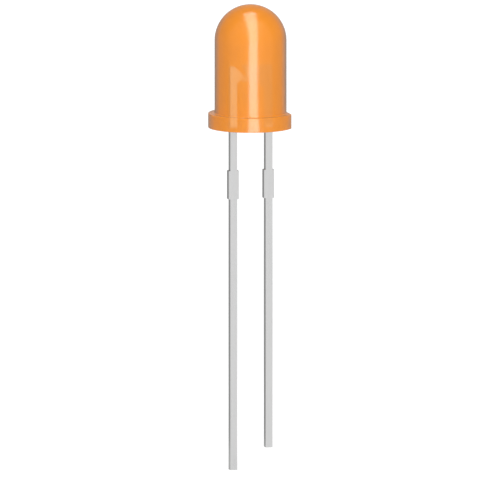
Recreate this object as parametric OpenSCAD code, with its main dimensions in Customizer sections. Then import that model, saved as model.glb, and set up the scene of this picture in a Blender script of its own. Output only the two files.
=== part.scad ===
// Round 5 mm through-hole LED: a tinted epoxy lens moulded around a two-piece lead frame, a die in its
// reflector cup and a bond wire. The origin is the middle of the flange's underside, which is the seating
// plane. +Z is the light's axis and +X points to the cathode, on the side of the flange's flat.

/* [Lens] */
// Radius of the barrel
barrel_r = 2.5; // [2.2:0.05:2.8]
// Height of the lens from the seating plane to the tip of the dome
lens_h = 8.6; // [8.2:0.1:10]
// How far the flange stands out from the barrel
flange_step = 0.45; // [0.3:0.05:0.8]
// Thickness of the flange
flange_t = 1; // [0.6:0.1:1.4]
// Radius of the fillet between the flange and the barrel
flange_fillet = 0.1; // [0.05:0.01:0.15]
// Radius of the rounding on the flange's upper and lower rims
rim_round = 0.08; // [0.02:0.01:0.12]
// How far the flange's flat, which marks the cathode, stands out from the barrel
flat_margin = 0.04; // [0.02:0.01:0.1]

/* [Leads] */
// Width of each lead, across the pair
lead_w = 0.5; // [0.4:0.05:0.6]
// Thickness of the sheet that both leads are stamped from
sheet_t = 0.5; // [0.4:0.05:0.6]
// Distance between the middles of the two leads
pitch = 2.54; // [2.3:0.02:2.8]
// Length of the anode lead below the seating plane
anode_l = 24; // [15:0.5:30]
// How much shorter the cathode lead is
cathode_short = 1.5; // [1:0.5:3]
// Distance from the seating plane to the top of the dam-bar stubs
stub_gap = 3; // [1:0.1:4]
// Height of the dam-bar stubs
stub_h = 2; // [1:0.1:3]
// How far a stub stands out on each side of its lead
stub_step = 0.115; // [0.05:0.005:0.3]

/* [Lead frame inside the lens] */
// Height of the top of the anvil and of the post above the seating plane
frame_top = 4.3; // [4:0.1:5]
// Depth of the anvil, from its top to its flat underside
anvil_depth = 1.05; // [0.9:0.05:1.3]
// How far the sloping underside of the anvil drops on its way to the lead
anvil_drop = 0.55; // [0.3:0.05:0.8]
// Width of the flat top of the anode post, where the wire is bonded
post_top_w = 0.34; // [0.25:0.01:0.45]
// Depth of the point of the post's flag below the top of the post
nose_depth = 0.68; // [0.6:0.01:0.75]
// How far the point of the flag reaches from the post towards the light's axis
nose_reach = 0.5; // [0.4:0.01:0.55]
// Height of the blunt end of the flag's point
nose_h = 0.06; // [0.03:0.01:0.1]
// Depth of the foot of the flag, where it runs back into the post
flag_depth = 1.2; // [1.05:0.05:1.4]
// Level gap between the point of the flag and the notch in the anvil that it faces
notch_gap = 0.27; // [0.2:0.01:0.35]

/* [Reflector cup] */
// Outer radius of the cup's rim
cup_rim_r = 0.64; // [0.6:0.01:0.7]
// Width of the cup's flat rim
cup_rim_w = 0.09; // [0.05:0.01:0.12]
// Radius of the cup's floor
cup_floor_r = 0.26; // [0.25:0.01:0.35]
// Depth of the cup
cup_depth = 0.36; // [0.3:0.01:0.45]
// Thickness of the metal below the cup's floor, where the outer cone meets the anvil
cup_floor_t = 0.3; // [0.2:0.01:0.5]

/* [Die and wire] */
// Side of the square die
chip_w = 0.28; // [0.2:0.01:0.3]
// Height of the die
chip_h = 0.2; // [0.15:0.01:0.25]
// Radius of the round contact pad on the die
pad_r = 0.055; // [0.05:0.005:0.08]
// Height of the contact pad
pad_h = 0.012; // [0.01:0.001:0.02]
// Thickness of the silver epoxy under the die
attach_t = 0.025; // [0.01:0.005:0.05]
// How far the silver epoxy creeps out from the corners of the die
attach_creep = 0.03; // [0.02:0.005:0.05]
// How far the silver epoxy climbs up the sides of the die
attach_climb = 0.05; // [0.02:0.005:0.08]
// Radius of the gold bond wire
wire_r = 0.015; // [0.01:0.001:0.02]
// Height of the wire's loop above the top of the post
loop_h = 0.34; // [0.25:0.01:0.5]
// Radius of the flattened ball that joins the wire to the contact pad
ball_r = 0.042; // [0.035:0.001:0.05]
// Height of the flattened ball
ball_h = 0.03; // [0.02:0.005:0.05]
// Length of the wedge that is pressed flat on the post
wedge_l = 0.1; // [0.06:0.01:0.15]

/* [Hidden] */
$fn = 64;
// The contact pad and the wire's ball are too small to need more sides than this.
small_sides = 12;

flange_r = barrel_r + flange_step;
flat_x = barrel_r + flat_margin;
dome_z = lens_h - barrel_r;
lead_x = pitch / 2;
lead_inner = lead_x - lead_w / 2;
lead_outer = lead_x + lead_w / 2;
cathode_l = anode_l - cathode_short;
stub_foot = stub_gap + stub_h;

anvil_z = frame_top - anvil_depth;
nose_x = -lead_inner + nose_reach;
nose_z = frame_top - nose_depth;
notch_x = nose_x + notch_gap;
spur_x = notch_x - (nose_z - anvil_z);

cup_mouth_r = cup_rim_r - cup_rim_w;
cup_floor_z = frame_top - cup_depth;
cup_base_z = cup_floor_z - cup_floor_t;
chip_z = cup_floor_z + attach_t;
pad_z = chip_z + chip_h;
ball_z = pad_z + pad_h;

wedge_w = 4 * wire_r;
wedge_x = -lead_outer + post_top_w / 2;
wire_steps = 20;
wire_sides = 8;
// The loop is a Bezier curve that leaves the ball upright and comes down on the wedge at about 45 degrees.
wire_start = [0, ball_z + ball_h / 2];
wire_end = [wedge_x, frame_top + wire_r];
crown_z = frame_top + loop_h - wire_r;
handle_z = (8 * crown_z - wire_start.y - wire_end.y) / 6;
wire_route = [wire_start, [0, handle_z], [wire_end.x + handle_z - wire_end.y, handle_z], wire_end];

// One side of the flange, barrel and dome, before its corners are rounded.
module lens_half() {
    square([barrel_r, dome_z]);
    square([flange_r, flange_t]);
    translate([0, dome_z]) intersection() {
        circle(barrel_r);
        square(barrel_r);
    }
}

// What lies between a right-angled corner and a round of radius r, with the corner at the origin.
module corner(r) {
    difference() {
        square(r);
        translate([r, r]) circle(r);
    }
}

module lens_outline() {
    difference() {
        lens_half();
        translate([flange_r, 0]) mirror([1, 0]) corner(rim_round);
        translate([flange_r, flange_t]) rotate(180) corner(rim_round);
    }
    translate([barrel_r, flange_t]) corner(flange_fillet);
}

module lens_form() {
    flat_h = flange_t + flange_fillet;
    difference() {
        rotate_extrude() lens_outline();
        translate([flat_x, -flange_r, 0]) cube([flange_step, 2 * flange_r, flat_h]);
    }
}

// A flat pattern in the plane of the two leads, cut from the sheet.
module stamped() {
    translate([0, sheet_t / 2, 0]) rotate([90, 0, 0]) linear_extrude(sheet_t) children();
}

// One lead with its dam-bar stub, down from the given height.
module lead_pattern(length, top) {
    translate([-lead_w / 2, -length]) square([lead_w, length + top]);
    translate([-lead_w / 2 - stub_step, -stub_foot]) square([lead_w + 2 * stub_step, stub_h]);
}

// The anvil carries the cup. Its notch faces the post's flag, and the spur below the notch anchors it.
module anvil_pattern() {
    polygon([
        [-cup_mouth_r, frame_top],
        [notch_x, nose_z],
        [spur_x, anvil_z],
        [lead_inner - anvil_drop, anvil_z],
        [lead_inner, anvil_z - anvil_drop],
        [lead_outer, anvil_z - anvil_drop],
        [lead_outer, frame_top]
    ]);
}

module post_pattern() {
    polygon([
        [-lead_outer, frame_top],
        [-lead_outer, frame_top - flag_depth],
        [-lead_inner, frame_top - flag_depth],
        [nose_x, nose_z - nose_h / 2],
        [nose_x, nose_z + nose_h / 2],
        [-lead_outer + post_top_w, frame_top]
    ]);
}

module cup_cone() {
    translate([0, 0, cup_base_z]) cylinder(r1 = cup_floor_r, r2 = cup_rim_r, h = frame_top - cup_base_z);
}

module cup_hollow() {
    translate([0, 0, cup_floor_z]) cylinder(r1 = cup_floor_r, r2 = cup_mouth_r, h = cup_depth);
}

module cathode_lead() {
    color("gainsboro") difference() {
        union() {
            stamped() {
                translate([lead_x, 0]) lead_pattern(cathode_l, anvil_z);
                anvil_pattern();
            }
            cup_cone();
        }
        cup_hollow();
    }
}

module anode_lead() {
    color("silver") stamped() {
        translate([-lead_x, 0]) lead_pattern(anode_l, frame_top - flag_depth);
        post_pattern();
    }
}

module die() {
    translate([-chip_w / 2, -chip_w / 2, chip_z]) cube([chip_w, chip_w, chip_h]);
}

module led_chip() {
    color("darkkhaki") {
        die();
        translate([0, 0, pad_z]) cylinder(r = pad_r, h = pad_h, $fn = small_sides);
    }
}

module die_attach() {
    creep_r = chip_w / sqrt(2) + attach_creep;
    color("lightgray") difference() {
        translate([0, 0, cup_floor_z]) cylinder(r = creep_r, h = attach_t + attach_climb);
        die();
    }
}

function curve(p, t) =
    pow(1 - t, 3) * p[0] + 3 * t * pow(1 - t, 2) * p[1] + 3 * pow(t, 2) * (1 - t) * p[2] + pow(t, 3) * p[3];

function curve_slope(p, t) =
    pow(1 - t, 2) * (p[1] - p[0]) + 2 * t * (1 - t) * (p[2] - p[1]) + pow(t, 2) * (p[3] - p[2]);

// The corners of the wire's section at t, square to the curve, which lies in the plane of the leads.
function wire_ring(t) =
    let (middle = curve(wire_route, t), slope = curve_slope(wire_route, t), along = slope / norm(slope))
    [
        for (side = [0 : wire_sides - 1])
            let (out = wire_r * cos(360 * side / wire_sides), across = wire_r * sin(360 * side / wire_sides))
            [middle.x - out * along.y, across, middle.y + out * along.x]
    ];

module wire_loop() {
    rings = [for (step = [0 : wire_steps]) each wire_ring(step / wire_steps)];
    sides = [0 : wire_sides - 1];
    walls = [
        for (step = [0 : wire_steps - 1], side = sides)
            let (a = step * wire_sides + side, b = step * wire_sides + (side + 1) % wire_sides)
            each [[a, b, b + wire_sides], [a, b + wire_sides, a + wire_sides]]
    ];
    first = [for (side = sides) wire_sides - 1 - side];
    last = [for (side = sides) wire_steps * wire_sides + side];
    polyhedron(rings, concat([first], walls, [last]));
}

module bond_wire() {
    color("gold") {
        wire_loop();
        translate([0, 0, ball_z]) cylinder(r = ball_r, h = ball_h, $fn = small_sides);
        translate([wedge_x - wedge_l / 2, -wedge_w / 2, frame_top]) cube([wedge_l, wedge_w, wire_r]);
    }
}

// The epoxy fills all the space around what it is cast over.
module lens() {
    color("darkorange") difference() {
        lens_form();
        cathode_lead();
        anode_lead();
        led_chip();
        die_attach();
        bond_wire();
    }
}

lens();
cathode_lead();
anode_lead();
led_chip();
die_attach();
bond_wire();
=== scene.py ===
"""Looks for a round 5 mm through-hole LED.

All lengths below are in millimetres unless a name says otherwise.
"""

import math

import bmesh
import bpy
from mathutils import Matrix, Vector


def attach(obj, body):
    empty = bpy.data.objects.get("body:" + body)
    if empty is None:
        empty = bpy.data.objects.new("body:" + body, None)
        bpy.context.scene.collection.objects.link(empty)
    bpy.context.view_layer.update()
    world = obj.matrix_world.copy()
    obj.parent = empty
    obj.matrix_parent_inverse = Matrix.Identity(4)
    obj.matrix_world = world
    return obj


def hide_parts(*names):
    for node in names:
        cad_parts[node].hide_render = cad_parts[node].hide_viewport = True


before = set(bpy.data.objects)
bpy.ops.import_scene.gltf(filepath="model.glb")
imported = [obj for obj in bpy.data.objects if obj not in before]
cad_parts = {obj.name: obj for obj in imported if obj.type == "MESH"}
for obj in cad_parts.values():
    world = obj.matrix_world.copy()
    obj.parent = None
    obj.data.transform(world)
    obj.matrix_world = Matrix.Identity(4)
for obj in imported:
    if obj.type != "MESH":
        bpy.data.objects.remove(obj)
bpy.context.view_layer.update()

MM = 0.001

# The lens. The middle of its flange's underside is the origin, as in the solids.
BARREL_R = 2.5
LENS_H = 8.6
FLANGE_T = 1.0
FLANGE_STEP = 0.45
FLAT_MARGIN = 0.04
FLANGE_R = BARREL_R + FLANGE_STEP
FLAT_X = BARREL_R + FLAT_MARGIN
DOME_Z = LENS_H - BARREL_R

# The two leads. The tin on them ends at DIP_EDGE above the flange's underside.
LEAD_PITCH = 2.54
LEAD_W = 0.5
SHEET_T = 0.5
ANODE_L = 24.0
CATHODE_SHORT = 1.5
STUB_GAP = 3.0
STUB_H = 2.0
STUB_STEP = 0.115
DIP_EDGE = 0.3
LEAD_X = LEAD_PITCH / 2
LEAD_INNER = LEAD_X - LEAD_W / 2
LEAD_OUTER = LEAD_X + LEAD_W / 2

# The photograph is a parallel view, 500 pixels square.
IMAGE_PX = 500
PX_PER_MM = 14.39
CAMERA_AZIMUTH = math.radians(-15)
CAMERA_ELEVATION = math.radians(8.1)
AXIS_PX_RIGHT_OF_CENTRE = 0.535
CENTRE_HEIGHT = -8.634
CAMERA_DISTANCE = 120
CLIP_NEAR = 1
CLIP_FAR = 10000


def direction(azimuth, elevation):
    """Points out from the object. Azimuth 0 is the front, and it grows to the right."""
    return Vector((
        math.sin(azimuth) * math.cos(elevation),
        -math.cos(azimuth) * math.cos(elevation),
        math.sin(elevation),
    ))


def new_object(name, data):
    thing = bpy.data.objects.new(name, data)
    bpy.context.scene.collection.objects.link(thing)
    return thing


def place_camera():
    across = Vector((math.cos(CAMERA_AZIMUTH), math.sin(CAMERA_AZIMUTH), 0))
    back = direction(CAMERA_AZIMUTH, CAMERA_ELEVATION)
    aim = Vector((0, 0, CENTRE_HEIGHT)) - across * (AXIS_PX_RIGHT_OF_CENTRE / PX_PER_MM)
    optics = bpy.data.cameras.new("photo_camera")
    optics.type = "ORTHO"
    optics.ortho_scale = IMAGE_PX / PX_PER_MM * MM
    optics.clip_start = CLIP_NEAR * MM
    optics.clip_end = CLIP_FAR * MM
    camera = new_object("photo_camera", optics)
    camera.location = (aim + back * CAMERA_DISTANCE) * MM
    camera.rotation_euler = back.to_track_quat("Z", "Y").to_euler()
    bpy.context.scene.camera = camera


place_camera()


def linear(code):
    """An sRGB hex colour as linear light, with full alpha."""
    parts = [int(code[i:i + 2], 16) / 255 for i in (1, 3, 5)]
    return tuple(p / 12.92 if p <= 0.04045 else ((p + 0.055) / 1.055) ** 2.4 for p in parts) + (1.0,)


def add(tree, kind, settings=None, links=None):
    """Adds a node, gives it its settings and inputs, and links other nodes' sockets into it."""
    node = tree.nodes.new(kind)
    for name, value in (settings or {}).items():
        if isinstance(name, int) or name in node.inputs:
            node.inputs[name].default_value = value
        else:
            setattr(node, name, value)
    for name, source in (links or {}).items():
        tree.links.new(source, node.inputs[name])
    return node


def empty_material(name):
    material = bpy.data.materials.new(name)
    material.use_nodes = True
    material.node_tree.nodes.clear()
    return material, material.node_tree


def pattern_scale(grain):
    """The scale of a noise or cell pattern whose grains are this many millimetres across."""
    return 1 / (grain * MM)


# Materials

# The epoxy's dye and diffusant lie in clouds, and its mould was polished in shallow waves.
DYE_CLOUD = 20 / 9
POLISH_WAVE = 10 / 9
# These are finer on the real thing. They are drawn as coarse as they need to be to show.
ROLLED_LINE = 1 / 9
SAW_MARK = 1 / 12
GOLD_GRAIN = 1 / 60
DRAWN_LINE = 1 / 90
# The flakes are as wide as real ones.
SILVER_FLAKE = 1 / 90
# Along the lead and the wire the lines' scale is only this share, and up the die's sides the saw marks
# are this many times as close.
ROLLED_ALONG = 0.03
DRAWN_ALONG = 0.1
SAWN_UP = 12

# The grey sheen on the epoxy starts at one slant and is full at another. A slant of 0 faces the eye and
# 1 is edge-on.
SHEEN_STARTS = 0.48
SHEEN_IS_FULL = 0.79
# Its share grows from the flange's to the barrel's over SHEEN_RISE, and is small on the crown, which
# looks up.
FLANGE_SHEEN = 0.5
BARREL_SHEEN = 0.74
CROWN_SHEEN = 0.1
SHEEN_RISE = 0.2
# At the very outline the sheen takes over.
OUTLINE_STARTS = 0.8
OUTLINE_IS_FULL = 0.95
OUTLINE_SHEEN = 0.9
# Painted shade, for the epoxy that hides the silver more towards the cathode:
# From the anode to this distance beyond the lens's axis, the silver is painted duller and duller.
SILVER_SHADE_END_X = 0.3


def sheen_share(tree, surface):
    """How much of what the eye gets from the epoxy is grey sheen. It goes by where on the lens that is, by
    how far the surface looks up and by how far it slants away."""
    spot = add(tree, "ShaderNodeSeparateXYZ", None, {"Vector": surface["Object"]})
    upright = add(
        tree, "ShaderNodeMapRange",
        {"From Min": FLANGE_T * MM, "From Max": (FLANGE_T + SHEEN_RISE) * MM,
         "To Min": FLANGE_SHEEN, "To Max": BARREL_SHEEN},
        {"Value": spot.outputs["Z"]},
    )
    facing = add(tree, "ShaderNodeSeparateXYZ", None, {"Vector": surface["Normal"]})
    most = add(
        tree, "ShaderNodeMapRange", {"To Max": CROWN_SHEEN},
        {"Value": facing.outputs["Z"], "To Min": upright.outputs[0]},
    )
    slant = add(tree, "ShaderNodeLayerWeight", {"Blend": 0.5})
    skim = add(
        tree, "ShaderNodeMapRange", {"From Min": SHEEN_STARTS, "From Max": SHEEN_IS_FULL},
        {"Value": slant.outputs["Facing"], "To Max": most.outputs[0]},
    )
    brink = add(
        tree, "ShaderNodeMapRange",
        {"From Min": OUTLINE_STARTS, "From Max": OUTLINE_IS_FULL, "To Max": OUTLINE_SHEEN},
        {"Value": slant.outputs["Facing"]},
    )
    share = add(tree, "ShaderNodeMath", {"operation": "MAXIMUM"}, {0: skim.outputs[0], 1: brink.outputs[0]})
    return share.outputs[0]


def tinted_diffused_epoxy():
    """Orange-dyed epoxy with a fine white diffusant, cast in a polished mould. The eye gets a milky
    orange body with a soft gloss, the pale lead frame faintly inside it, and a greyer sheen where the
    surface slants away."""
    material, tree = empty_material("tinted_diffused_epoxy")
    surface = add(tree, "ShaderNodeTexCoord").outputs
    cloud = add(
        tree, "ShaderNodeTexNoise",
        {"Scale": pattern_scale(DYE_CLOUD), "Detail": 3, "Roughness": 0.5}, {"Vector": surface["Object"]},
    )
    colour = add(
        tree, "ShaderNodeMix",
        {"data_type": "RGBA", 6: linear("#F39226"), 7: linear("#F59626")},
        {0: cloud.outputs["Fac"]},
    )
    polish = add(
        tree, "ShaderNodeTexNoise",
        {"Scale": pattern_scale(POLISH_WAVE), "Detail": 2}, {"Vector": surface["Object"]},
    )
    rough = add(
        tree, "ShaderNodeMapRange", {"To Min": 0.16, "To Max": 0.21}, {"Value": polish.outputs["Fac"]},
    )
    body = add(
        tree, "ShaderNodeBsdfPrincipled",
        {"IOR": 1.53, "Alpha": 0.83},
        {"Base Color": colour.outputs[2], "Roughness": rough.outputs[0]},
    )
    sheen = add(tree, "ShaderNodeBsdfAnisotropic", {"Color": linear("#96928A"), "Roughness": 0.6})
    skin = add(
        tree, "ShaderNodeMixShader", None,
        {0: sheen_share(tree, surface), 1: body.outputs[0], 2: sheen.outputs[0]},
    )
    # Seen from within, the far wall is plain orange, and mirror images pass through it.
    depth = add(tree, "ShaderNodeBsdfDiffuse", None, {"Color": colour.outputs[2]})
    through = add(tree, "ShaderNodeBsdfTransparent", {"Color": linear("#FFEFC8")})
    rays = add(tree, "ShaderNodeLightPath")
    far_side = add(
        tree, "ShaderNodeMixShader", None,
        {0: rays.outputs["Is Glossy Ray"], 1: depth.outputs[0], 2: through.outputs[0]},
    )
    sides = add(tree, "ShaderNodeNewGeometry")
    wall = add(
        tree, "ShaderNodeMixShader", None,
        {0: sides.outputs["Backfacing"], 1: skin.outputs[0], 2: far_side.outputs[0]},
    )
    # Light on its way to and from what lies inside passes the wall, a little tinted.
    for kind in ("Is Diffuse Ray", "Is Shadow Ray"):
        wall = add(
            tree, "ShaderNodeMixShader", None,
            {0: rays.outputs[kind], 1: wall.outputs[0], 2: through.outputs[0]},
        )
    add(tree, "ShaderNodeOutputMaterial", None, {"Surface": wall.outputs[0]})
    return material


def tin_colour(tree, grain, face):
    """Tin with the fine lines of the rolled sheet, darker on the shear-cut edges, partly as duller cut
    metal and partly as painted shade.
    """
    rolled = add(
        tree, "ShaderNodeMix",
        {"data_type": "RGBA", 6: linear("#C8C8C8"), 7: linear("#D1D1D1")},
        {0: grain.outputs["Fac"]},
    )
    # The shear-cut edges' darker grey is partly duller cut metal and partly painted shade.
    sheared_and_shaded = add(
        tree, "ShaderNodeMix",
        {"data_type": "RGBA", 6: linear("#959595"), 7: linear("#9E9E9E")},
        {0: grain.outputs["Fac"]},
    )
    tin = add(
        tree, "ShaderNodeMix", {"data_type": "RGBA"},
        {0: face.outputs[0], 6: sheared_and_shaded.outputs[2], 7: rolled.outputs[2]},
    )
    return tin.outputs[2]


def silver_colour(tree, spot, facing, face):
    """Silver with painted shade: duller towards the cathode, where the epoxy hides it more, and darker on
    the shear-cut edges. What looks up, such as the inside of the cup, is painted lighter, as painted light
    from above."""
    # Painted shade: the silver is painted duller from the anode towards the cathode.
    painted_falloff = add(
        tree, "ShaderNodeMapRange", {"From Min": -LEAD_X * MM, "From Max": SILVER_SHADE_END_X * MM},
        {"Value": spot.outputs["X"]},
    )
    sheet = add(
        tree, "ShaderNodeMix",
        {"data_type": "RGBA", 6: linear("#FAF8F2"), 7: linear("#807D74")},
        {0: painted_falloff.outputs[0]},
    )
    # Painted shade: the silver's shear-cut edges are painted darker.
    silver = add(
        tree, "ShaderNodeMix", {"data_type": "RGBA", 6: linear("#746F62")},
        {0: face.outputs[0], 7: sheet.outputs[2]},
    )
    # Painted light: silver that looks up, such as the inside of the cup, is painted lighter, as if lit from
    # above.
    painted_top_light = add(
        tree, "ShaderNodeMapRange", {"From Min": 0.2, "From Max": 0.5}, {"Value": facing.outputs["Z"]},
    )
    bright = add(
        tree, "ShaderNodeMix", {"data_type": "RGBA", 7: linear("#FAF8F2")},
        {0: painted_top_light.outputs[0], 6: silver.outputs[2]},
    )
    return bright.outputs[2]


def tin_plated_steel():
    """Stamped steel sheet. Outside the lens it was dipped in tin: satin grey, with the fine lines of the
    rolled sheet, and darker on its shear-cut edges, which is partly duller cut metal and partly painted
    shade. Inside it keeps its silver plating, which shines nearly white through the milky epoxy at the
    anode. Towards the cathode, which the epoxy hides more, it is painted duller as painted shade, and what
    looks up is painted lighter as painted light."""
    material, tree = empty_material("tin_plated_steel")
    surface = add(tree, "ShaderNodeTexCoord").outputs
    spot = add(tree, "ShaderNodeSeparateXYZ", None, {"Vector": surface["Object"]})
    facing = add(tree, "ShaderNodeSeparateXYZ", None, {"Vector": surface["Normal"]})
    # 1 on the two faces of the sheet and 0 on its shear-cut edges, which get partly painted shade.
    flatness = add(tree, "ShaderNodeMath", {"operation": "ABSOLUTE"}, {0: facing.outputs["Y"]})
    face = add(
        tree, "ShaderNodeMapRange", {"From Min": 0.3, "From Max": 0.8}, {"Value": flatness.outputs[0]},
    )
    # 0 where the tin is and 1 where the silver is.
    silvered = add(
        tree, "ShaderNodeMapRange", {"From Min": 0.0, "From Max": DIP_EDGE * MM},
        {"Value": spot.outputs["Z"]},
    )
    along = add(tree, "ShaderNodeMapping", {"Scale": (1, 1, ROLLED_ALONG)}, {"Vector": surface["Object"]})
    grain = add(
        tree, "ShaderNodeTexNoise",
        {"Scale": pattern_scale(ROLLED_LINE), "Detail": 3}, {"Vector": along.outputs[0]},
    )
    colour = add(
        tree, "ShaderNodeMix", {"data_type": "RGBA"},
        {0: silvered.outputs[0], 6: tin_colour(tree, grain, face),
         7: silver_colour(tree, spot, facing, face)},
    )
    dull = add(tree, "ShaderNodeMapRange", {"To Min": 0.45, "To Max": 0.3}, {"Value": face.outputs[0]})
    satin = add(
        tree, "ShaderNodeMapRange", {"To Min": 0.26},
        {"Value": grain.outputs["Fac"], "To Max": dull.outputs[0]},
    )
    rough = add(tree, "ShaderNodeMix", {3: 0.3}, {0: silvered.outputs[0], 2: satin.outputs[0]})
    shine = add(tree, "ShaderNodeMapRange", {"To Min": 1.0, "To Max": 0.9}, {"Value": silvered.outputs[0]})
    metal = add(
        tree, "ShaderNodeBsdfPrincipled", None,
        {"Base Color": colour.outputs[2], "Roughness": rough.outputs[0], "Metallic": shine.outputs[0]},
    )
    add(tree, "ShaderNodeOutputMaterial", None, {"Surface": metal.outputs[0]})
    return material


def semiconductor_die():
    """The die: a semiconductor crystal, polished on top and sawn at the sides. A dark amber crystal
    looks like brown glass at this size."""
    material, tree = empty_material("semiconductor_die")
    place = add(tree, "ShaderNodeTexCoord").outputs["Object"]
    saw = add(tree, "ShaderNodeMapping", {"Scale": (1, 1, SAWN_UP)}, {"Vector": place})
    marks = add(
        tree, "ShaderNodeTexNoise",
        {"Scale": pattern_scale(SAW_MARK), "Detail": 2}, {"Vector": saw.outputs[0]},
    )
    colour = add(
        tree, "ShaderNodeMix",
        {"data_type": "RGBA", 6: linear("#A8842E"), 7: linear("#8A6420")},
        {0: marks.outputs["Fac"]},
    )
    rough = add(
        tree, "ShaderNodeMapRange", {"To Min": 0.2, "To Max": 0.45}, {"Value": marks.outputs["Fac"]},
    )
    crystal = add(
        tree, "ShaderNodeBsdfPrincipled", {"IOR": 2.0},
        {"Base Color": colour.outputs[2], "Roughness": rough.outputs[0]},
    )
    add(tree, "ShaderNodeOutputMaterial", None, {"Surface": crystal.outputs[0]})
    return material


def evaporated_gold():
    """The contact pad: gold laid on from vapour, smooth with a fine grain."""
    material, tree = empty_material("evaporated_gold")
    place = add(tree, "ShaderNodeTexCoord").outputs["Object"]
    grain = add(
        tree, "ShaderNodeTexNoise", {"Scale": pattern_scale(GOLD_GRAIN), "Detail": 2}, {"Vector": place},
    )
    colour = add(
        tree, "ShaderNodeMix",
        {"data_type": "RGBA", 6: linear("#F2C566"), 7: linear("#FFD978")},
        {0: grain.outputs["Fac"]},
    )
    rough = add(
        tree, "ShaderNodeMapRange", {"To Min": 0.25, "To Max": 0.4}, {"Value": grain.outputs["Fac"]},
    )
    gold = add(
        tree, "ShaderNodeBsdfPrincipled", {"Metallic": 1.0},
        {"Base Color": colour.outputs[2], "Roughness": rough.outputs[0]},
    )
    add(tree, "ShaderNodeOutputMaterial", None, {"Surface": gold.outputs[0]})
    return material


def drawn_gold_wire():
    """The bond wire: gold drawn through a die, bright, with faint lines along it."""
    material, tree = empty_material("drawn_gold_wire")
    place = add(tree, "ShaderNodeTexCoord").outputs["Object"]
    along = add(tree, "ShaderNodeMapping", {"Scale": (DRAWN_ALONG, 1, 1)}, {"Vector": place})
    lines = add(
        tree, "ShaderNodeTexNoise",
        {"Scale": pattern_scale(DRAWN_LINE), "Detail": 2}, {"Vector": along.outputs[0]},
    )
    colour = add(
        tree, "ShaderNodeMix",
        {"data_type": "RGBA", 6: linear("#EFC15A"), 7: linear("#FFDB7C")},
        {0: lines.outputs["Fac"]},
    )
    rough = add(
        tree, "ShaderNodeMapRange", {"To Min": 0.15, "To Max": 0.28}, {"Value": lines.outputs["Fac"]},
    )
    gold = add(
        tree, "ShaderNodeBsdfPrincipled", {"Metallic": 1.0},
        {"Base Color": colour.outputs[2], "Roughness": rough.outputs[0]},
    )
    add(tree, "ShaderNodeOutputMaterial", None, {"Surface": gold.outputs[0]})
    return material


def silver_filled_epoxy():
    """Epoxy full of silver flakes: matte grey with small bright flecks."""
    material, tree = empty_material("silver_filled_epoxy")
    place = add(tree, "ShaderNodeTexCoord").outputs["Object"]
    flakes = add(tree, "ShaderNodeTexVoronoi", {"Scale": pattern_scale(SILVER_FLAKE)}, {"Vector": place})
    matte = add(
        tree, "ShaderNodeMapRange", {"From Min": 0.15, "From Max": 0.45},
        {"Value": flakes.outputs["Distance"]},
    )
    colour = add(
        tree, "ShaderNodeMix",
        {"data_type": "RGBA", 6: linear("#D8D8D6"), 7: linear("#A3A3A0")},
        {0: matte.outputs[0]},
    )
    rough = add(tree, "ShaderNodeMapRange", {"To Min": 0.35, "To Max": 0.7}, {"Value": matte.outputs[0]})
    shine = add(tree, "ShaderNodeMapRange", {"To Min": 0.9, "To Max": 0.3}, {"Value": matte.outputs[0]})
    paste = add(
        tree, "ShaderNodeBsdfPrincipled", None,
        {"Base Color": colour.outputs[2], "Roughness": rough.outputs[0], "Metallic": shine.outputs[0]},
    )
    add(tree, "ShaderNodeOutputMaterial", None, {"Surface": paste.outputs[0]})
    return material


# Pieces

SHARP = math.radians(35)
# Blender's number for a bevel that is part of a circle.
ROUND_PROFILE = 0.5


def finished_mesh(name, shape):
    """Turns a bmesh in millimetres into a mesh in metres, with all faces outwards."""
    mesh = bpy.data.meshes.new(name)
    bmesh.ops.scale(shape, vec=(MM, MM, MM), verts=shape.verts)
    bmesh.ops.recalc_face_normals(shape, faces=shape.faces)
    shape.to_mesh(mesh)
    shape.free()
    return mesh


def smooth(mesh):
    """Smooth shading, apart from edges that are sharp to the eye."""
    mesh.shade_smooth()
    mesh.set_sharp_from_angle(angle=SHARP)


def mesh_piece(name, shape, material, slot, *nodes):
    """Turns a bmesh in millimetres into a piece that stands for the given CAD nodes."""
    mesh = finished_mesh(name, shape)
    smooth(mesh)
    mesh.materials.append(material)
    piece = new_object(name, mesh)
    shade = piece.modifiers.new("even_shade", "WEIGHTED_NORMAL")
    shade.keep_sharp = True
    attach(piece, "root")
    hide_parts(*nodes)
    return piece


def arc(middle, radius, start, end, steps):
    """Points on an arc in the plane of radius and height, with its angles in degrees."""
    turns = [math.radians(start + (end - start) * i / steps) for i in range(steps + 1)]
    return [(middle[0] + radius * math.cos(t), middle[1] + radius * math.sin(t)) for t in turns]


def turned(profile, steps):
    """A closed body of revolution around Z. The profile's ends lie on the axis."""
    shape = bmesh.new()
    first = shape.verts.new((0, 0, profile[0][1]))
    last = shape.verts.new((0, 0, profile[-1][1]))
    rings = []
    for r, z in profile[1:-1]:
        turns = [2 * math.pi * i / steps for i in range(steps)]
        rings.append([shape.verts.new((r * math.cos(t), r * math.sin(t), z)) for t in turns])
    for i in range(steps):
        j = (i + 1) % steps
        shape.faces.new((first, rings[0][j], rings[0][i]))
        shape.faces.new((last, rings[-1][i], rings[-1][j]))
        for low, high in zip(rings, rings[1:]):
            shape.faces.new((low[i], low[j], high[j], high[i]))
    return shape


def close_rings(shape, rings):
    """Joins each ring of points to the next one and closes both ends."""
    for low, high in zip(rings, rings[1:]):
        for i in range(len(low)):
            j = (i + 1) % len(low)
            shape.faces.new((low[i], low[j], high[j], high[i]))
    shape.faces.new(list(reversed(rings[0])))
    shape.faces.new(rings[-1])


# The round in the corner under the barrel, and those of the flange's upper and lower rims.
FILLET = 0.06
RIM_ROUND = 0.04
FOOT_ROUND = 0.02
LENS_TURNS = 256
DOME_STEPS = 40
ROUND_STEPS = 6
FOOT_STEPS = 4


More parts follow.
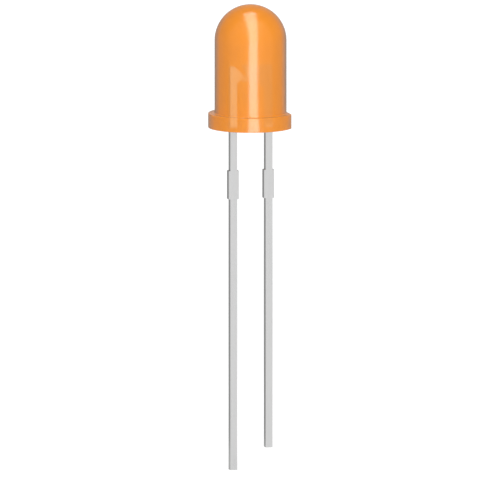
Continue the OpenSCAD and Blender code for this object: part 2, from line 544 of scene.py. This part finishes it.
def epoxy_lens(material):
    """The moulding: a flange with rounded rims and one flat side, the barrel and the dome."""
    rim = FLANGE_R - RIM_ROUND
    profile = [(0, 0)]
    profile += arc((FLANGE_R - FOOT_ROUND, FOOT_ROUND), FOOT_ROUND, -90, 0, FOOT_STEPS)
    profile += arc((rim, FLANGE_T - RIM_ROUND), RIM_ROUND, 0, 90, ROUND_STEPS)
    profile += arc((BARREL_R + FILLET, FLANGE_T + FILLET), FILLET, 270, 180, ROUND_STEPS)
    profile += [(BARREL_R, DOME_Z / 2)]
    profile += arc((0, DOME_Z), BARREL_R, 0, 90, DOME_STEPS)[:-1]
    profile += [(0, LENS_H)]
    shape = turned(profile, LENS_TURNS)
    cut = bmesh.ops.bisect_plane(
        shape, geom=shape.verts[:] + shape.edges[:] + shape.faces[:],
        plane_co=(FLAT_X, 0, 0), plane_no=(1, 0, 0), clear_outer=True,
    )
    border = [e for e in cut["geom_cut"] if isinstance(e, bmesh.types.BMEdge)]
    bmesh.ops.holes_fill(shape, edges=border)
    return mesh_piece("epoxy_lens", shape, material, "tinted_epoxy", "lens")


# The broken edges of the stamped sheet.
EDGE_ROUND = 0.015
EDGE_STEPS = 3


def stamped(outline):
    """A flat pattern in the plane of the leads, cut from the sheet, with its edges slightly rounded."""
    shape = bmesh.new()
    face = shape.faces.new([shape.verts.new((x, -SHEET_T / 2, z)) for x, z in outline])
    grown = bmesh.ops.extrude_face_region(shape, geom=[face])
    moved = [v for v in grown["geom"] if isinstance(v, bmesh.types.BMVert)]
    bmesh.ops.translate(shape, verts=moved, vec=(0, SHEET_T, 0))
    bmesh.ops.recalc_face_normals(shape, faces=shape.faces)
    bmesh.ops.bevel(
        shape, geom=shape.edges[:], offset=EDGE_ROUND, offset_type="OFFSET", segments=EDGE_STEPS,
        profile=ROUND_PROFILE, affect="EDGES", clamp_overlap=True,
    )
    return shape


def lead_sides(x, length):
    """The outline of one lead with its stub, below the seating plane: its right side going up, and its
    left side going down."""
    half = LEAD_W / 2
    wide = half + STUB_STEP
    stub_foot = -STUB_GAP - STUB_H
    right = [
        (x + half, -length), (x + half, stub_foot), (x + wide, stub_foot),
        (x + wide, -STUB_GAP), (x + half, -STUB_GAP),
    ]
    left = [(2 * x - px, pz) for px, pz in reversed(right)]
    return right, left


# The lead frame inside the lens. The post's flag points at the notch in the anvil, above the anvil's spur.
FRAME_TOP = 4.3
POST_TOP_W = 0.34
FLAG_DEPTH = 1.2
NOSE_DEPTH = 0.68
NOSE_REACH = 0.5
NOSE_H = 0.06
NOTCH_GAP = 0.27
ANVIL_DEPTH = 1.05
ANVIL_DROP = 0.55
NOSE_X = -LEAD_INNER + NOSE_REACH
NOSE_Z = FRAME_TOP - NOSE_DEPTH
ANVIL_Z = FRAME_TOP - ANVIL_DEPTH
NOTCH_X = NOSE_X + NOTCH_GAP
SPUR_X = NOTCH_X - (NOSE_Z - ANVIL_Z)


def anode_frame(material):
    """The longer lead, with the post and its pointed flag at its top."""
    right, left = lead_sides(-LEAD_X, ANODE_L)
    outline = right + [
        (-LEAD_INNER, FRAME_TOP - FLAG_DEPTH), (NOSE_X, NOSE_Z - NOSE_H / 2), (NOSE_X, NOSE_Z + NOSE_H / 2),
        (-LEAD_OUTER + POST_TOP_W, FRAME_TOP), (-LEAD_OUTER, FRAME_TOP),
    ] + left
    return mesh_piece("anode_frame", stamped(outline), material, "plated_lead", "anode_lead")


# The reflector cup. CUP_ROUND is the round of its rim outside and of its floor's corner inside.
CUP_RIM_R = 0.64
CUP_RIM_W = 0.09
CUP_FLOOR_R = 0.26
CUP_DEPTH = 0.36
CUP_FLOOR_T = 0.3
CUP_ROUND = 0.02
CUP_MOUTH_R = CUP_RIM_R - CUP_RIM_W
CUP_FLOOR_Z = FRAME_TOP - CUP_DEPTH
CUP_BASE_Z = CUP_FLOOR_Z - CUP_FLOOR_T
CUP_TURNS = 96
CUP_STEPS = 4
# How far the tool that cuts the cup stands out of it, so that it cuts clean.
CUT_OVER = 0.1


def cut_or_join(piece, shape, operation):
    """Joins a closed bmesh to the piece, or cuts it away."""
    tool = new_object("tool", finished_mesh("tool", shape))
    change = piece.modifiers.new("change", "BOOLEAN")
    change.operation = operation
    change.solver = "EXACT"
    change.object = tool
    bpy.context.view_layer.update()
    changed = bpy.data.meshes.new_from_object(piece.evaluated_get(bpy.context.evaluated_depsgraph_get()))
    piece.modifiers.remove(change)
    piece.data = changed
    bpy.data.objects.remove(tool)


def cathode_frame(material):
    """The shorter lead, with the anvil at its top. The reflector cup is pressed into the anvil: a cone
    outside and a polished cone inside."""
    right, left = lead_sides(LEAD_X, ANODE_L - CATHODE_SHORT)
    outline = right + [
        (LEAD_OUTER, FRAME_TOP), (-CUP_MOUTH_R, FRAME_TOP), (NOTCH_X, NOSE_Z), (SPUR_X, ANVIL_Z),
        (LEAD_INNER - ANVIL_DROP, ANVIL_Z), (LEAD_INNER, ANVIL_Z - ANVIL_DROP),
    ] + left
    piece = mesh_piece("cathode_frame", stamped(outline), material, "plated_lead", "cathode_lead")
    rim_z = FRAME_TOP - CUP_ROUND
    outside = [(0, CUP_BASE_Z), (CUP_FLOOR_R, CUP_BASE_Z)]
    outside += arc((CUP_RIM_R - CUP_ROUND, rim_z), CUP_ROUND, 0, 90, CUP_STEPS)
    outside += [(0, FRAME_TOP)]
    inside = [(0, CUP_FLOOR_Z), (CUP_FLOOR_R - CUP_ROUND, CUP_FLOOR_Z)]
    inside += [(CUP_FLOOR_R, CUP_FLOOR_Z + CUP_ROUND), (CUP_MOUTH_R, FRAME_TOP)]
    inside += [(CUP_MOUTH_R, FRAME_TOP + CUT_OVER), (0, FRAME_TOP + CUT_OVER)]
    cut_or_join(piece, turned(outside, CUP_TURNS), "UNION")
    cut_or_join(piece, turned(inside, CUP_TURNS), "DIFFERENCE")
    smooth(piece.data)
    return piece


# The square die with its contact pad, and the silver epoxy that holds it on the cup's floor.
CHIP_W = 0.28
CHIP_H = 0.2
CHIP_EDGE = 0.008
CHIP_STEPS = 2
PAD_R = 0.055
PAD_H = 0.012
PAD_TURNS = 48
PAD_STEPS = 4
ATTACH_T = 0.025
ATTACH_CREEP = 0.03
ATTACH_CLIMB = 0.05
ATTACH_TURNS = 96
ATTACH_ROWS = 8
CHIP_Z = CUP_FLOOR_Z + ATTACH_T
PAD_Z = CHIP_Z + CHIP_H
ATTACH_TOP = CHIP_Z + ATTACH_CLIMB
ATTACH_R = CHIP_W / math.sqrt(2) + ATTACH_CREEP


def chip(die_material, pad_material):
    """The die as sawn from its wafer, with a round gold pad on top."""
    shape = bmesh.new()
    bmesh.ops.create_cube(shape, size=1)
    bmesh.ops.scale(shape, vec=(CHIP_W, CHIP_W, CHIP_H), verts=shape.verts)
    bmesh.ops.translate(shape, vec=(0, 0, CHIP_Z + CHIP_H / 2), verts=shape.verts)
    bmesh.ops.bevel(
        shape, geom=shape.edges[:], offset=CHIP_EDGE, segments=CHIP_STEPS, profile=ROUND_PROFILE,
        affect="EDGES",
    )
    die_faces = len(shape.faces)
    half = PAD_H / 2
    profile = [(0, PAD_Z), (PAD_R, PAD_Z)]
    profile += arc((PAD_R - half, PAD_Z + half), half, 0, 90, PAD_STEPS) + [(0, PAD_Z + PAD_H)]
    pad = turned(profile, PAD_TURNS)
    spare = bpy.data.meshes.new("pad")
    pad.to_mesh(spare)
    pad.free()
    shape.from_mesh(spare)
    for i, face in enumerate(shape.faces):
        face.material_index = int(i >= die_faces)
    piece = mesh_piece("light_chip", shape, die_material, "die", "led_chip")
    piece.data.materials.append(pad_material)
    return piece


def chip_glue(material):
    """Silver epoxy, squeezed out from under the die and drawn up its sides in a hollow curve. It is
    round at its foot and as square as the die at its top."""
    shape = bmesh.new()
    rings = []
    for row in range(ATTACH_ROWS + 1):
        bend = row / ATTACH_ROWS * math.pi / 2
        z = CUP_FLOOR_Z + (ATTACH_TOP - CUP_FLOOR_Z) * (1 - math.cos(bend))
        ring = []
        for i in range(ATTACH_TURNS):
            turn = 2 * math.pi * i / ATTACH_TURNS
            square = CHIP_W / 2 / max(abs(math.cos(turn)), abs(math.sin(turn)))
            r = ATTACH_R + (square - ATTACH_R) * math.sin(bend)
            ring.append(shape.verts.new((r * math.cos(turn), r * math.sin(turn), z)))
        rings.append(ring)
    close_rings(shape, rings)
    return mesh_piece("silver_glue", shape, material, "silver_epoxy", "die_attach")


# The bond wire, from its ball on the pad to its wedge on the post.
WIRE_R = 0.015
LOOP_H = 0.34
BALL_R = 0.042
BALL_H = 0.03
WEDGE_L = 0.1
WIRE_SIDES = 20
BALL_STEPS = 8
LOOP_STEPS = 60
BALL_Z = PAD_Z + PAD_H
WEDGE_X = -LEAD_OUTER + POST_TOP_W / 2
# The ball's flat ends have this share of its radius, and its round side bends this many degrees each
# way. The neck above it is NECK times as wide as the wire and as high as the ball.
BALL_END = 0.7
BALL_BEND = 60
NECK = 1.15
# The parts of the loop's curve where the wire is round. The neck and the wedge take its two ends.
LOOP_FROM = 0.035
LOOP_TO = 0.96
# The wedge at four places. Each has its distance from the wedge's middle, in half lengths, and then the
# height of the wire's middle, half its thickness and half its width, in radii of the wire.
WEDGE_STOPS = (
    (-0.3, 0.85, 0.85, 1.3),
    (0.0, 0.7, 0.6, 1.8),
    (0.5, 0.5, 0.5, 2.0),
    (1.0, 0.5, 0.42, 1.9),
)


def ball_stops():
    """The ball, pressed flat on the pad, with a round side, and the neck of the wire above it."""
    side = arc((BALL_R - BALL_H / 2, BALL_Z + BALL_H / 2), BALL_H / 2, -BALL_BEND, BALL_BEND, BALL_STEPS)
    stops = [(Vector((0, BALL_Z)), BALL_R * BALL_END, BALL_R * BALL_END)]
    stops += [(Vector((0, z)), r, r) for r, z in side]
    stops += [(Vector((0, BALL_Z + BALL_H)), BALL_R * BALL_END, BALL_R * BALL_END)]
    stops += [(Vector((0, BALL_Z + BALL_H * NECK)), WIRE_R * NECK, WIRE_R * NECK)]
    return stops


def loop_stops():
    """A curve that leaves the ball upright, rises to the loop's height and comes down on the wedge at
    about 45 degrees. Its middle has 3/8 of each handle and 1/8 of each end, which gives the handles'
    height."""
    start = Vector((0, BALL_Z + BALL_H / 2))
    end = Vector((WEDGE_X, FRAME_TOP + WIRE_R))
    crown = FRAME_TOP + LOOP_H - WIRE_R
    handle = (8 * crown - start.y - end.y) / 6
    route = [start, Vector((0, handle)), Vector((end.x + handle - end.y, handle)), end]
    stops = []
    for i in range(LOOP_STEPS + 1):
        t = LOOP_FROM + (LOOP_TO - LOOP_FROM) * i / LOOP_STEPS
        weights = ((1 - t) ** 3, 3 * t * (1 - t) ** 2, 3 * t * t * (1 - t), t ** 3)
        stops.append((sum((p * w for p, w in zip(route, weights)), Vector((0, 0))), WIRE_R, WIRE_R))
    return stops


def wedge_stops():
    """The wire's end, pressed thin and wide on the post."""
    return [
        (Vector((WEDGE_X - WEDGE_L / 2 * share, FRAME_TOP + WIRE_R * lift)), WIRE_R * thick, WIRE_R * wide)
        for share, lift, thick, wide in WEDGE_STOPS
    ]


def wire(material):
    """One gold wire: a flattened ball on the pad, the loop, and a wedge pressed flat on the post. Each
    stop along it has a place in the plane of the leads, and half a width in that plane and across
    it."""
    stops = ball_stops() + loop_stops() + wedge_stops()
    shape = bmesh.new()
    rings = []
    for i, (place, thick, wide) in enumerate(stops):
        ahead = stops[min(i + 1, len(stops) - 1)][0] - stops[max(i - 1, 0)][0]
        ahead.normalize()
        out = Vector((-ahead.y, ahead.x))
        # The wire lies on the post or the pad and doesn't sink into them.
        ground = FRAME_TOP if place.x < WEDGE_X / 2 else BALL_Z
        ring = []
        for side in range(WIRE_SIDES):
            turn = 2 * math.pi * side / WIRE_SIDES
            spot = place + out * (thick * math.cos(turn))
            ring.append(shape.verts.new((spot.x, wide * math.sin(turn), max(spot.y, ground))))
        rings.append(ring)
    close_rings(shape, rings)
    return mesh_piece("gold_wire", shape, material, "gold", "bond_wire")


lead_steel = tin_plated_steel()
lens = epoxy_lens(tinted_diffused_epoxy())
anode_frame(lead_steel)
cathode_frame(lead_steel)
chip(semiconductor_die(), evaporated_gold())
chip_glue(silver_filled_epoxy())
wire(drawn_gold_wire())


# Studio

# The paper is plain white from FLOOR_FAR on. Nearer, it takes shadows with FLOOR_SHADE of its light,
# and glows with the rest and a little more.
FLOOR_Z = -ANODE_L
FLOOR_SIZE = 3000
FLOOR_NEAR = 60
FLOOR_FAR = 160
FLOOR_SHADE = 0.3
FLOOR_LIFT = 0.12

# The background's light, where it isn't seen itself.
WORLD_LEVEL = 0.45

# The strip softbox reaches up over the object between two angles, in degrees from level. From its lowest
# lamp to its highest, each has a share of the full radiance and a width that grows to the left.
STRIP_AZIMUTH = math.radians(-6.2)
STRIP_HALF_WIDTH = math.radians(13.3)
STRIP_FROM = -28
STRIP_TO = 104
STRIP_DISTANCE = 38
STRIP_CENTRE_Z = 4.0
STRIP_RADIANCE = 7.6
STRIP_SHARES = (1.0, 1.0, 0.93, 0.9, 0.9, 0.93, 0.84, 0.84)
STRIP_WIDTHS = (1.0, 1.0, 1.0, 1.0, 1.0, 1.05, 1.15, 1.3)

# The key softbox shines from the front and above.
KEY_AZIMUTH = math.radians(-5)
KEY_ELEVATION = math.radians(44)
KEY_DISTANCE = 250
KEY_SIZE = 260
KEY_WATTS = 0.53

# The card stands behind the object.
CARD_LEVEL = 0.65
CARD_DISTANCE = 12
CARD_WIDTH = 16
CARD_HEIGHT = 26

# The tent's back starts and is full at two shares of its radius behind the object. Gloss mirrors it at
# other levels than those of the soft light that it gives.
TENT_RADIUS = 43
TENT_OPENING = math.radians(72)
TENT_BACK_STARTS = 0.25
TENT_BACK_IS_FULL = 0.9
TENT_SIDE_GLOSS = 0.8
TENT_BACK_GLOSS = 0.7
TENT_TOP_GLOSS = 0.3
TENT_SIDE_LIGHT = 0.33
TENT_BACK_LIGHT = 0.95
TENT_TURNS = 64
TENT_ROWS = 48


def strip_softbox(lit):
    """A tall softbox, curved up and over the object, that gives the long highlight down the barrel. It
    is made of short lamps end to end, and lights only the given piece."""
    receivers = bpy.data.collections.new("lit_by_strip")
    receivers.objects.link(lit)
    step = (STRIP_TO - STRIP_FROM) / len(STRIP_SHARES)
    width = 2 * STRIP_DISTANCE * math.tan(STRIP_HALF_WIDTH)
    length = 2 * STRIP_DISTANCE * math.tan(math.radians(step / 2))
    for i, (share, wider) in enumerate(zip(STRIP_SHARES, STRIP_WIDTHS)):
        rise = math.radians(STRIP_FROM + step * (i + 0.5))
        out = direction(STRIP_AZIMUTH, rise)
        up = direction(STRIP_AZIMUTH, rise + math.pi / 2)
        lamp = bpy.data.lights.new("strip_softbox_%d" % i, "AREA")
        lamp.shape = "RECTANGLE"
        lamp.size = width * wider * MM
        lamp.size_y = length * MM
        lamp.energy = STRIP_RADIANCE * share * math.pi * width * wider * length * MM * MM
        box = new_object(lamp.name, lamp)
        right = up.cross(out)
        place = out * STRIP_DISTANCE + Vector((0, 0, STRIP_CENTRE_Z)) - right * (width * (wider - 1) / 2)
        box.matrix_world = Matrix.Translation(place * MM) @ Matrix((right, up, out)).transposed().to_4x4()
        box.visible_camera = False
        box.visible_diffuse = False
        box.light_linking.receiver_collection = receivers


def key_softbox():
    """A large soft lamp before and above the object, which gives the light and no mirror image."""
    lamp = bpy.data.lights.new("key_softbox", "AREA")
    lamp.shape = "SQUARE"
    lamp.size = KEY_SIZE * MM
    lamp.energy = KEY_WATTS
    key = new_object("key_softbox", lamp)
    out = direction(KEY_AZIMUTH, KEY_ELEVATION)
    key.location = out * (KEY_DISTANCE * MM)
    key.rotation_euler = out.to_track_quat("Z", "Y").to_euler()
    key.visible_camera = False
    key.visible_glossy = False


def grey_card():
    """A glowing grey card that stands on the floor close behind the object, out of the camera's sight.
    What slants away on the leads and at the foot of the lens mirrors it."""
    bpy.ops.mesh.primitive_plane_add(size=1)
    card = bpy.context.object
    card.name = "grey_card"
    out = direction(math.pi - CAMERA_AZIMUTH, 0)
    card.scale = (CARD_WIDTH * MM, CARD_HEIGHT * MM, 1)
    card.rotation_euler = out.to_track_quat("Z", "Y").to_euler()
    card.location = (out * CARD_DISTANCE + Vector((0, 0, FLOOR_Z + CARD_HEIGHT / 2))) * MM
    material, tree = empty_material("grey_card")
    glow = add(tree, "ShaderNodeEmission", {"Strength": CARD_LEVEL})
    add(tree, "ShaderNodeOutputMaterial", None, {"Surface": glow.outputs[0]})
    card.data.materials.append(material)
    card.visible_camera = False
    card.visible_shadow = False


def grey_tent():
    """A soft grey tent around the object, open to the front and out of the camera's sight. The curved
    edges mirror its sides and back, which are darker for them towards its top."""
    shape = bmesh.new()
    bmesh.ops.create_uvsphere(shape, u_segments=TENT_TURNS, v_segments=TENT_ROWS, radius=TENT_RADIUS * MM)
    front = direction(CAMERA_AZIMUTH, CAMERA_ELEVATION)
    edge = math.cos(TENT_OPENING)
    opening = [f for f in shape.faces if f.calc_center_median().normalized().dot(front) > edge]
    bmesh.ops.delete(shape, geom=opening, context="FACES")
    mesh = bpy.data.meshes.new("grey_tent")
    shape.to_mesh(mesh)
    shape.free()
    material, tree = empty_material("tent_cloth")
    place = add(tree, "ShaderNodeTexCoord").outputs["Object"]
    spot = add(tree, "ShaderNodeSeparateXYZ", None, {"Vector": place})
    behind = add(
        tree, "ShaderNodeMapRange",
        {"From Min": TENT_RADIUS * MM * TENT_BACK_STARTS, "From Max": TENT_RADIUS * MM * TENT_BACK_IS_FULL},
        {"Value": spot.outputs["Y"]},
    )
    around = add(
        tree, "ShaderNodeMapRange", {"To Min": TENT_SIDE_GLOSS, "To Max": TENT_BACK_GLOSS},
        {"Value": behind.outputs[0]},
    )
    gloss = add(
        tree, "ShaderNodeMapRange",
        {"From Min": 0.0, "From Max": TENT_RADIUS * MM, "To Max": TENT_TOP_GLOSS},
        {"Value": spot.outputs["Z"], "To Min": around.outputs[0]},
    )
    soft = add(
        tree, "ShaderNodeMapRange", {"To Min": TENT_SIDE_LIGHT, "To Max": TENT_BACK_LIGHT},
        {"Value": behind.outputs[0]},
    )
    rays = add(tree, "ShaderNodeLightPath")
    level = add(
        tree, "ShaderNodeMapRange", None,
        {"Value": rays.outputs["Is Glossy Ray"], "To Min": soft.outputs[0], "To Max": gloss.outputs[0]},
    )
    glow = add(tree, "ShaderNodeEmission", None, {"Strength": level.outputs[0]})
    add(tree, "ShaderNodeOutputMaterial", None, {"Surface": glow.outputs[0]})
    mesh.materials.append(material)
    tent = new_object("grey_tent", mesh)
    tent.visible_camera = False
    tent.visible_shadow = False


def background_rays(tree):
    """1 for the rays that see the background itself: the camera's, and those that gloss and glass send
    on."""
    rays = add(tree, "ShaderNodeLightPath").outputs
    seen = add(
        tree, "ShaderNodeMath", {"operation": "MAXIMUM"},
        {0: rays["Is Camera Ray"], 1: rays["Is Glossy Ray"]},
    )
    sent_on = add(
        tree, "ShaderNodeMath", {"operation": "MAXIMUM"},
        {0: seen.outputs[0], 1: rays["Is Transmission Ray"]},
    )
    return sent_on.outputs[0]


def white_world():
    """White where the background is seen, and a soft level of light for everything else."""
    world = bpy.data.worlds.new("studio")
    bpy.context.scene.world = world
    world.use_nodes = True
    tree = world.node_tree
    tree.nodes.clear()
    strength = add(
        tree, "ShaderNodeMapRange", {"To Min": WORLD_LEVEL, "To Max": 1.0},
        {"Value": background_rays(tree)},
    )
    sky = add(tree, "ShaderNodeBackground", {"Color": linear("#FFFFFF")}, {"Strength": strength.outputs[0]})
    add(tree, "ShaderNodeOutputWorld", None, {"Surface": sky.outputs[0]})


def pale_floor():
    """White paper that takes the object's soft shadow. Further away it is plain white."""
    bpy.ops.mesh.primitive_plane_add(size=FLOOR_SIZE * MM, location=(0, 0, FLOOR_Z * MM))
    floor = bpy.context.object
    floor.name = "studio_floor"
    material, tree = empty_material("white_paper")
    place = add(tree, "ShaderNodeTexCoord").outputs["Object"]
    far = add(tree, "ShaderNodeVectorMath", {"operation": "LENGTH"}, {0: place})
    share = add(
        tree, "ShaderNodeMapRange",
        {"From Min": FLOOR_NEAR * MM, "From Max": FLOOR_FAR * MM, "To Min": FLOOR_SHADE, "To Max": 0.0,
         "interpolation_type": "SMOOTHSTEP"},
        {"Value": far.outputs["Value"]},
    )
    rest = add(tree, "ShaderNodeMath", {"operation": "SUBTRACT", 0: 1.0}, {1: share.outputs[0]})
    glow = add(tree, "ShaderNodeMath", {"operation": "ADD", 1: FLOOR_LIFT}, {0: rest.outputs[0]})
    shaded = add(tree, "ShaderNodeBsdfDiffuse", None, {"Color": share.outputs[0]})
    white = add(tree, "ShaderNodeEmission", None, {"Strength": glow.outputs[0]})
    seen = add(tree, "ShaderNodeAddShader", None, {0: shaded.outputs[0], 1: white.outputs[0]})
    paper = add(tree, "ShaderNodeBsdfDiffuse", {"Color": linear("#F3F3F3")})
    mix = add(
        tree, "ShaderNodeMixShader", None,
        {0: background_rays(tree), 1: paper.outputs[0], 2: seen.outputs[0]},
    )
    add(tree, "ShaderNodeOutputMaterial", None, {"Surface": mix.outputs[0]})
    floor.data.materials.append(material)


strip_softbox(lens)
key_softbox()
grey_card()
grey_tent()
white_world()
pale_floor()

bpy.context.scene.view_settings.view_transform = "Standard"
